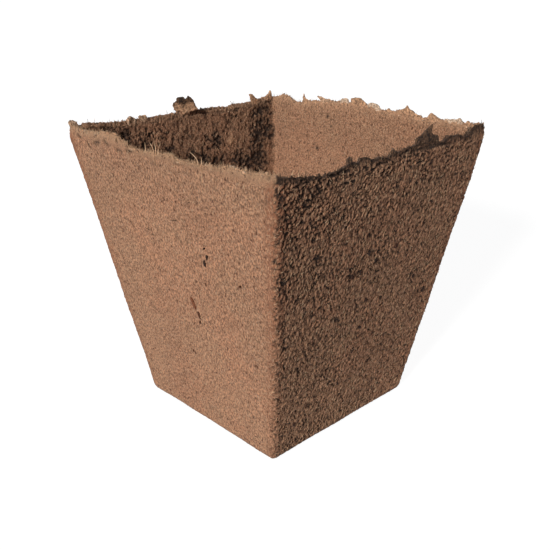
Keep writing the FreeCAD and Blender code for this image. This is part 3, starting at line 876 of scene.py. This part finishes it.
def make_rim_fibres(material):
    """The loose fibres that stand out of the torn edge one by one."""
    levels = np.linspace(0, 1, 8)
    radii = 0.8 * fibre_radius * np.concatenate([[1], np.linspace(1, 0.3, 8)])
    for name, table in FIBRE_SHARES.items():
        lines = []
        for place, length, lean, slide in table:
            point, along, up, outward = wall_frame(name, place, tear_height(name, place))
            foot = point - outward * wall * fibre_inset_share
            rise = np.outer(levels, up) + np.outer(levels ** 2, outward * lean + along * slide)
            lines.append(np.vstack([foot - up * fibre_root_depth, foot + rise * length * fibre_length]))
        replaced = ["loose_fibres_" + name + "_rim"]
        add_tubes("loose_fibres_" + name, lines, np.tile(radii, (len(lines), 1)), material, replaced)


def make_strands(name, table, material):
    """Single strands that lie on the front wall, a little bent."""
    lines = []
    for start, end in table:
        line = []
        for share in np.linspace(0, 1, 9):
            point, outward = wall_point("front", mixed(np.array(start), np.array(end), share))
            side = np.cross(outward, (0, 0, 1)) * strand_bend * math.sin(2.2 * math.pi * share)
            line.append(point + side + outward * strand_radius)
        lines.append(line)
    taper = 0.35 + 0.65 * np.sin(np.pi * np.linspace(0.1, 0.9, 9))
    add_tubes(name, lines, np.tile(strand_radius * taper, (len(lines), 1)), material)


def make_bark(material):
    """Chips and slivers of bark pressed into the outside."""
    nodes = {"front": "bark_slivers_front_wall", "right": "bark_chips_right_wall"}
    angles = 2 * math.pi * steps(28)
    for name, table in BARK_SHARES.items():
        lofts = []
        for i, (place, height, length, width, slant_share, light) in enumerate(table):
            point, along, up, outward = wall_frame(name, place, height * band_bottom)
            slant = slant_share * math.pi / 2
            wide = (along * math.cos(slant) + up * math.sin(slant)) * bark_width * width / 2
            tall = (up * math.cos(slant) - along * math.sin(slant)) * bark_length * length / 2
            ring = np.outer(np.cos(angles), wide) + np.outer(np.sin(angles), tall)
            rings = [point + outward * level * bark_proud + ring * size for level, size in BARK_LAYER_SHARES]
            rings = np.array(rings)
            centres = rings.mean(axis=1, keepdims=True)
            uneven = 1 + 0.65 * layered_bumps(rings, bark_noise_width, 300 + i)[..., None]
            lofts.append(centres + (rings - centres) * uneven)
        add_lofts("bark_" + name, lofts, material, [nodes[name]], [row[5] for row in table])


# Fine fibres and crumbs of the pulp

def scatter(surface, weights, count, seed):
    """Places picked at random on the moulding, where the weights are high, with their directions."""
    points, directions, kinds = surface
    source = np.random.default_rng(seed)
    share = weights.ravel() / weights.sum()
    picked = source.choice(share.size, count, replace=False, p=share)
    return points.reshape(-1, 3)[picked], [d.reshape(-1, 3)[picked] for d in directions], source


def cell_areas(points):
    sides = [np.linalg.norm(np.roll(points, -1, axis=axis) - points, axis=-1) for axis in (1, 0)]
    return sides[0] * sides[1]


def lying_fibres(name, surface, weights, material, upright, seed):
    """Short fibres that lie in the surface, most of them near upright where that share is high."""
    count, lengths, radius = FIBRES[name]
    feet, (around, onward, outward), source = scatter(surface, weights, count, seed)
    angle = math.pi / 2 + source.normal(size=count) * (math.pi / 2) * (1 - upright)
    heading = around * np.cos(angle)[:, None] + onward * np.sin(angle)[:, None]
    side = np.cross(outward, heading)
    length = source.uniform(*lengths, size=count)[:, None, None]
    curl = source.normal(size=count)[:, None, None] * 0.14
    lift = source.uniform(0.2, 1.0, size=count)[:, None, None]
    share = np.linspace(-0.5, 0.5, 7)[None, :, None]
    hump = 1 - 4 * share ** 2
    lines = (feet[:, None] + heading[:, None] * share * length + side[:, None] * curl * length * hump
             + outward[:, None] * (hump * lift * 2.2 - 1.2) * radius)
    taper = np.sqrt(np.clip(1.15 - 4 * share[..., 0] ** 2, 0.1, 1))
    radii = radius * taper * source.uniform(0.6, 1.2, size=(count, 1))
    add_tubes(name, lines, radii, material, sides=4, seed=seed)


def standing_fibres(name, surface, weights, material, seed):
    """Fine frayed fibres that stand out of the torn edge."""
    count, lengths, radius = FIBRES[name]
    feet, (around, onward, outward), source = scatter(surface, weights, count, seed)
    heading = unit(outward * 0.3 + (0, 0, 1) + around * source.normal(size=(count, 1)) * 0.7
                   + np.cross(around, (0, 0, 1)) * source.normal(size=(count, 1)) * 0.25)
    length = source.uniform(*lengths, size=count)[:, None, None] * source.uniform(0.4, 1, size=(count, 1, 1))
    bend = unit(source.normal(size=(count, 3)))[:, None] * source.uniform(0, 0.5, size=(count, 1, 1))
    share = np.linspace(-0.35, 1, 7)[None, :, None]
    lines = feet[:, None] + (heading[:, None] * share + bend * share ** 2) * length
    radii = radius * np.linspace(1, 0.4, 7)[None] * source.uniform(0.6, 1.3, size=(count, 1))
    add_tubes(name, lines, radii, material, sides=4, seed=seed)


def crumbs(name, surface, weights, material, seed):
    """Flat uneven crumbs, tilted at random and half held in the surface."""
    count, sizes, flatness, pales = CRUMBS[name]
    feet, (around, onward, outward), source = scatter(surface, weights, count, seed)
    polar = np.linspace(0.3, math.pi - 0.3, 5)[None, :, None, None]
    turn = (2 * math.pi * steps(8))[None, None, :, None]
    axis = unit(outward + 0.7 * source.normal(size=(count, 3)))
    heading = unit(np.cross(axis, source.normal(size=(count, 3))))
    side = np.cross(axis, heading)
    axis, heading, side = (direction[:, None, None] for direction in (axis, heading, side))
    size = source.uniform(*sizes, size=(count, 1, 1, 1)) / 2
    stretch = source.uniform(0.4, 1.0, size=(count, 1, 1, 1))
    ball = (heading * np.sin(polar) * np.cos(turn) + side * np.sin(polar) * np.sin(turn) * stretch
            - axis * np.cos(polar) * flatness)
    shift = source.uniform(0, 1, size=(count, 1, 1, 1))
    uneven = 1 + 0.7 * bumps(ball + shift * 50, 0.7, seed)[..., None]
    rows = feet[:, None, None] + ball * size * uneven
    add_lofts(name, rows, material, (), source.uniform(*pales, size=count))


def make_fine_parts(surface, felt, torn, fibre, bark):
    points, directions, kinds = surface
    area = cell_areas(points)
    outer = area * (kinds[..., OUTSIDE] > 0.9) * (points[..., 2] > base_edge_radius)
    inner = area * (kinds[..., INSIDE] > 0.9)
    top = area * (kinds[..., TORN] > 0.3)
    light_top = area * kinds[..., PALE] ** 2 * (kinds[..., TORN] > 0.3)
    shaded = outer * (0.6 + np.maximum(directions[2][..., 0], 0))
    lying_fibres("pale_fibres_outside", surface, shaded, fibre, 0.55, 201)
    lying_fibres("brown_fibres_outside", surface, outer, felt, 0.55, 202)
    lying_fibres("pale_fibres_inside", surface, inner, fibre, 0.2, 203)
    standing_fibres("frayed_rim_fibres", surface, light_top, fibre, 204)
    standing_fibres("thick_rim_fibres", surface, top * (0.15 + kinds[..., TORN_SHADE]), torn, 208)
    crumbs("rim_crumbs", surface, light_top, torn, 205)
    crumbs("inner_crumbs", surface, inner, torn, 206)
    crumbs("bark_specks", surface, outer, bark, 207)


# Materials

def add_node(tree, kind, settings=(), inputs=()):
    """A shader node with its settings made, and each input set or linked."""
    new = tree.nodes.new("ShaderNode" + kind)
    for key, value in dict(settings).items():
        setattr(new, key, value)
    for key, value in dict(inputs).items():
        if isinstance(value, bpy.types.NodeSocket):
            tree.links.new(value, new.inputs[key])
        else:
            new.inputs[key].default_value = value
    return new


def new_material(name, roughness, sheen):
    """A rough material, its node tree and shader, and the object's own coordinates in millimetres."""
    material = bpy.data.materials.new(name)
    material.use_nodes = True
    material.cycles.use_bump_map_correction = False
    tree = material.node_tree
    shader = tree.nodes["Principled BSDF"]
    shader.inputs["Roughness"].default_value = roughness
    shader.inputs["Specular IOR Level"].default_value = 0.2
    shader.inputs["Sheen Weight"].default_value = sheen
    shader.inputs["Sheen Roughness"].default_value = 0.6
    place = vector_maths(tree, "SCALE", add_node(tree, "TexCoord").outputs["Object"], 1 / mm)
    return material, tree, shader, place


def dress(tree, shader, colour, normal):
    tree.links.new(colour, shader.inputs["Base Color"])
    tree.links.new(normal, shader.inputs["Normal"])


def vector_maths(tree, operation, first, second, output="Vector"):
    key = 3 if operation == "SCALE" else 1
    return add_node(tree, "VectorMath", {"operation": operation}, {0: first, key: second}).outputs[output]


def laid(tree, place, squeeze):
    """Those coordinates squeezed along the lay of the strokes by a share."""
    reach = maths(tree, "MULTIPLY", vector_maths(tree, "DOT_PRODUCT", place, tuple(lay), "Value"), squeeze)
    return vector_maths(tree, "SUBTRACT", place, vector_maths(tree, "SCALE", tuple(lay), reach))


def noise(tree, place, per_mm, detail=2.0, roughness=0.5):
    inputs = {"Vector": place, "Scale": per_mm, "Detail": detail, "Roughness": roughness}
    return add_node(tree, "TexNoise", {}, inputs).outputs["Fac"]


def ramp(tree, value, low, high, from_value=0.0, to_value=1.0):
    """A value eased from one number to another as it goes from low to high."""
    inputs = {"Value": value, "From Min": low, "From Max": high, "To Min": from_value, "To Max": to_value}
    return add_node(tree, "MapRange", {"interpolation_type": "SMOOTHSTEP"}, inputs).outputs["Result"]


def maths(tree, operation, first, second=0.0, third=0.0):
    return add_node(tree, "Math", {"operation": operation}, {0: first, 1: second, 2: third}).outputs[0]


def colour_mix(tree, share, first, second, blend="MIX"):
    settings = {"data_type": "RGBA", "blend_type": blend}
    return add_node(tree, "Mix", settings, {0: share, 6: first, 7: second}).outputs[2]


def specks(tree, place, per_mm, size, rarity):
    """Scattered spots: one in some of the cells of a random pattern."""
    cells = add_node(tree, "TexVoronoi", {}, {"Vector": place, "Scale": per_mm, "Randomness": 1.0})
    near = ramp(tree, cells.outputs["Distance"], size * 0.6, size, 1.0, 0.0)
    pick = add_node(tree, "SeparateColor", {}, {"Color": cells.outputs["Color"]}).outputs["Red"]
    return maths(tree, "MULTIPLY", near, ramp(tree, pick, rarity, rarity + 0.05))


def wandered(tree, place, per_mm, reach):
    """Coordinates pushed about by noise, so that spots drawn in them aren't round."""
    shift = add_node(tree, "TexNoise", {}, {"Vector": place, "Scale": per_mm, "Detail": 1.0})
    centred = vector_maths(tree, "SUBTRACT", shift.outputs["Color"], (0.5, 0.5, 0.5))
    return vector_maths(tree, "ADD", place, vector_maths(tree, "SCALE", centred, reach))


def stored(tree, name):
    return add_node(tree, "Attribute", {"attribute_name": name}).outputs["Fac"]


def add_bump(tree, height, depth, strength=1.0, below=None):
    inputs = {"Height": height, "Distance": depth, "Strength": strength}
    if below is not None:
        inputs["Normal"] = below
    return add_node(tree, "Bump", {}, inputs).outputs["Normal"]


red_brown = (0.442, 0.224, 0.127, 1)
olive_brown = (0.428, 0.230, 0.132, 1)
pale_straw = (0.66, 0.43, 0.28, 1)
stroke_brown = (0.185, 0.080, 0.044, 1)
# Near-black: painted shade in pits, hollows and on shaded rims, and the pulp's dark spots
shade_and_spot_brown = (0.020, 0.012, 0.009, 1)
speck_brown = (0.135, 0.055, 0.030, 1)
edge_orange = (0.345, 0.140, 0.072, 1)
torn_tan = (0.54, 0.31, 0.18, 1)
# Pale torn pulp, also used for painted highlights on the front rim and the lump
rim_straw_and_highlight = (0.76, 0.47, 0.28, 1)
# Dark torn pulp, also used for painted shade on the right wall's flakes and the curled flake's top
torn_dark_and_shade = (0.120, 0.064, 0.036, 1)
torn_pale = (0.66, 0.50, 0.37, 1)
fibre_tan = (0.47, 0.265, 0.148, 1)
fibre_straw = (0.72, 0.50, 0.31, 1)
bark_dark = (0.020, 0.011, 0.008, 1)
bark_red = (0.22, 0.082, 0.042, 1)

# The reddish specks of the pulp: how many cells to a millimetre, size, rarity and strength
SPECKS = ((0.85, 0.27, 0.50, 0.95), (0.28, 0.14, 0.80, 0.95))


def pulp_colour(tree, place):
    """Mottled browns with fine strokes along the lay, and reddish specks."""
    clouds = ramp(tree, noise(tree, place, 0.055, 2), 0.36, 0.64)
    colour = colour_mix(tree, clouds, red_brown, olive_brown)
    broad = ramp(tree, noise(tree, place, 0.035, 1), 0.35, 0.65, 0.95, 1.05)
    fine = laid(tree, place, maths(tree, "MULTIPLY_ADD", stored(tree, "outside"), 0.42, 0.30))
    grain = ramp(tree, noise(tree, fine, 3.3, 2, 0.6), 0.38, 0.62, 0.54, 1.48)
    colour = colour_mix(tree, 1.0, colour, maths(tree, "MULTIPLY", broad, grain), "MULTIPLY")
    pale = ramp(tree, noise(tree, fine, 2.5, 2, 0.6), 0.55, 0.68, 0.0, 0.60)
    colour = colour_mix(tree, pale, colour, pale_straw)
    brown = ramp(tree, noise(tree, laid(tree, place, 0.6), 2.4, 2, 0.6), 0.56, 0.68, 0.0, 0.80)
    colour = colour_mix(tree, brown, colour, stroke_brown)
    bent = wandered(tree, laid(tree, place, 0.3), 1.6, 0.7)
    for per_mm, size, rarity, share in SPECKS:
        there = maths(tree, "MULTIPLY", specks(tree, bent, per_mm, size, rarity), share)
        colour = colour_mix(tree, there, colour, speck_brown)
    return colour


def make_felt(name, with_stored_values):
    """Pressed pulp with painted shade in its pits and on shaded rims, worn orange at the upright corners, and
    lighter where torn, where the lighter colour is partly a painted highlight.
    """
    material, tree, shader, place = new_material(name, 0.92, 0.05)
    colour = pulp_colour(tree, place)
    if with_stored_values:
        worn = ramp(tree, noise(tree, place, 1.3, 2, 0.6), 0.40, 0.60, 0.25, 0.90)
        # Real wear at the corners, torn paleness with painted highlights, and painted shade
        coats = (("edge", worn, edge_orange), ("torn", 0.75, rim_straw_and_highlight), ("pit_and_shade", 0.95, shade_and_spot_brown))
        for title, share, over in coats:
            there = maths(tree, "MULTIPLY", stored(tree, title), share)
            colour = colour_mix(tree, there, colour, over)
    squeeze = maths(tree, "MULTIPLY", stored(tree, "outside"), 0.20)
    strokes = add_bump(tree, noise(tree, laid(tree, place, squeeze), 2.2, 2, 0.6), 0.36 * mm)
    dress(tree, shader, colour, add_bump(tree, noise(tree, place, 4.2, 2, 0.6), 0.20 * mm, below=strokes))
    return material


def make_torn_material():
    """Broken pulp of the flakes and crumbs, from dark to pale by their stored share; the darkest, on the
    right wall's flakes and at the curled flake's top, are painted shade, and the hollows get painted shade
    too.
    """
    material, tree, shader, place = new_material("torn_peat", 0.92, 0.05)
    pale = stored(tree, "pale")
    colour = colour_mix(tree, ramp(tree, pale, 0.0, 0.5), torn_dark_and_shade, torn_tan)
    colour = colour_mix(tree, ramp(tree, pale, 0.55, 1.0), colour, torn_pale)
    grain = ramp(tree, noise(tree, place, 1.7, 3, 0.7), 0.36, 0.64, 0.50, 1.45)
    colour = colour_mix(tree, 1.0, colour, grain, "MULTIPLY")
    # Painted shade in noise hollows, strongest on the darker flakes
    hollow_shade = ramp(tree, noise(tree, laid(tree, place, 0.3), 1.3, 2, 0.6), 0.50, 0.60)
    hollow_shade = maths(tree, "MULTIPLY", hollow_shade, ramp(tree, pale, 0.0, 0.7, 0.90, 0.15))
    colour = colour_mix(tree, hollow_shade, colour, shade_and_spot_brown)
    coarse = add_bump(tree, noise(tree, place, 1.6, 2, 0.6), 0.50 * mm)
    dress(tree, shader, colour, add_bump(tree, noise(tree, place, 4.5, 2), 0.18 * mm, below=coarse))
    return material


def make_fibre_material():
    material, tree, shader, place = new_material("pale_fibre", 0.75, 0.1)
    shade = ramp(tree, noise(tree, place, 0.9, 2), 0.3, 0.7)
    colour = colour_mix(tree, shade, fibre_tan, fibre_straw)
    dress(tree, shader, colour, add_bump(tree, noise(tree, place, 6.0, 2), 0.05 * mm, 0.6))
    return material


def make_bark_material():
    material, tree, shader, place = new_material("bark", 0.8, 0.0)
    uneven = ramp(tree, noise(tree, place, 2.2, 2), 0.3, 0.7, -0.2, 0.2)
    light = maths(tree, "ADD", stored(tree, "pale"), uneven)
    colour = colour_mix(tree, light, bark_dark, bark_red)
    dress(tree, shader, colour, add_bump(tree, noise(tree, laid(tree, place, 0.8), 3.0, 3), 0.15 * mm, 0.8))
    return material


# Camera, lights and floor

def add_camera():
    """The photograph's view: from over the front right corner, with the pot a little right of the middle."""
    azimuth = math.radians(45)
    pitch = 0.378
    turn = 0.0031
    distance = 196.9 * mm
    height = 116.1 * mm
    data = bpy.data.cameras.new("camera")
    data.sensor_width = 36.0
    data.lens = 47.65
    data.clip_start = 1 * mm
    camera = bpy.data.objects.new("camera", data)
    camera.location = (distance * math.sin(azimuth), -distance * math.cos(azimuth), height)
    camera.rotation_euler = (math.pi / 2 - pitch, 0, azimuth + turn)
    bpy.context.scene.collection.objects.link(camera)
    bpy.context.scene.camera = camera


def add_lamp(name, azimuth, elevation, width, strength, colour):
    """A soft far lamp. Azimuth 0 is in front, towards -Y, and turns towards +X; width is an angle too."""
    data = bpy.data.lights.new(name, "SUN")
    data.angle = math.radians(width)
    data.energy = strength
    data.color = colour
    lamp = bpy.data.objects.new(name, data)
    turn, rise = math.radians(azimuth), math.radians(elevation)
    lamp.location = (math.sin(turn) * math.cos(rise), -math.cos(turn) * math.cos(rise), math.sin(rise))
    lamp.rotation_euler = (-lamp.location).to_track_quat("-Z", "Y").to_euler()
    bpy.context.scene.collection.objects.link(lamp)


def unlit_mix(tree, lit, seen):
    """One shader returns light to what is around, and the other is what the camera and reflections see."""
    path = add_node(tree, "LightPath").outputs
    straight = maths(tree, "MAXIMUM", path["Is Camera Ray"], path["Is Glossy Ray"])
    straight = maths(tree, "MAXIMUM", straight, path["Is Transmission Ray"])
    return add_node(tree, "MixShader", {}, {0: straight, 1: lit.outputs[0], 2: seen.outputs[0]}).outputs[0]


def add_world():
    world = bpy.data.worlds.new("world")
    world.use_nodes = True
    tree = world.node_tree
    tree.nodes.clear()
    fill = add_node(tree, "Background", {}, {"Color": (0.92, 0.90, 1.0, 1), "Strength": 0.065})
    white = add_node(tree, "Background", {}, {"Color": (1, 1, 1, 1), "Strength": 1.0})
    add_node(tree, "OutputWorld", {}, {"Surface": unlit_mix(tree, fill, white)})
    bpy.context.scene.world = world


def add_floor():
    """A floor that returns little light to the pot and looks white, with the pot's shadow on it."""
    half = 12.0
    corners = [(-half, -half, 0), (half, -half, 0), (half, half, 0), (-half, half, 0)]
    mesh = bpy.data.meshes.new("floor")
    mesh.from_pydata(corners, [], [(0, 1, 2, 3)])
    material = bpy.data.materials.new("floor")
    material.use_nodes = True
    tree = material.node_tree
    tree.nodes.clear()
    lit = add_node(tree, "BsdfDiffuse", {}, {"Color": (0.27, 0.265, 0.29, 1)})
    shaded = add_node(tree, "BsdfDiffuse", {}, {"Color": (0.24, 0.24, 0.24, 1)})
    glow = add_node(tree, "Emission", {}, {"Color": (1, 1, 1, 1), "Strength": 0.92})
    seen = add_node(tree, "AddShader", {}, {0: shaded.outputs[0], 1: glow.outputs[0]})
    add_node(tree, "OutputMaterial", {}, {"Surface": unlit_mix(tree, lit, seen)})
    mesh.materials.append(material)
    floor = bpy.data.objects.new("floor", mesh)
    bpy.context.scene.collection.objects.link(floor)


def main():
    add_camera()
    felt = make_felt("pressed_peat", True)
    plain_felt = make_felt("loose_peat", False)
    torn = make_torn_material()
    fibre = make_fibre_material()
    bark = make_bark_material()
    surface = make_moulding(felt)
    make_flakes(torn)
    make_corner_flake(torn)
    make_curled_flake(torn)
    make_rim_fibres(fibre)
    make_strands("pale_strands", PALE_STRAND_SHARES, fibre)
    make_strands("dark_strands", DARK_STRAND_SHARES, bark)
    make_bark(bark)
    make_fine_parts(surface, plain_felt, torn, fibre, bark)
    for name, values in LAMPS.items():
        add_lamp(name, *values)
    add_world()
    add_floor()
    bpy.context.scene.view_settings.view_transform = "Standard"


main()
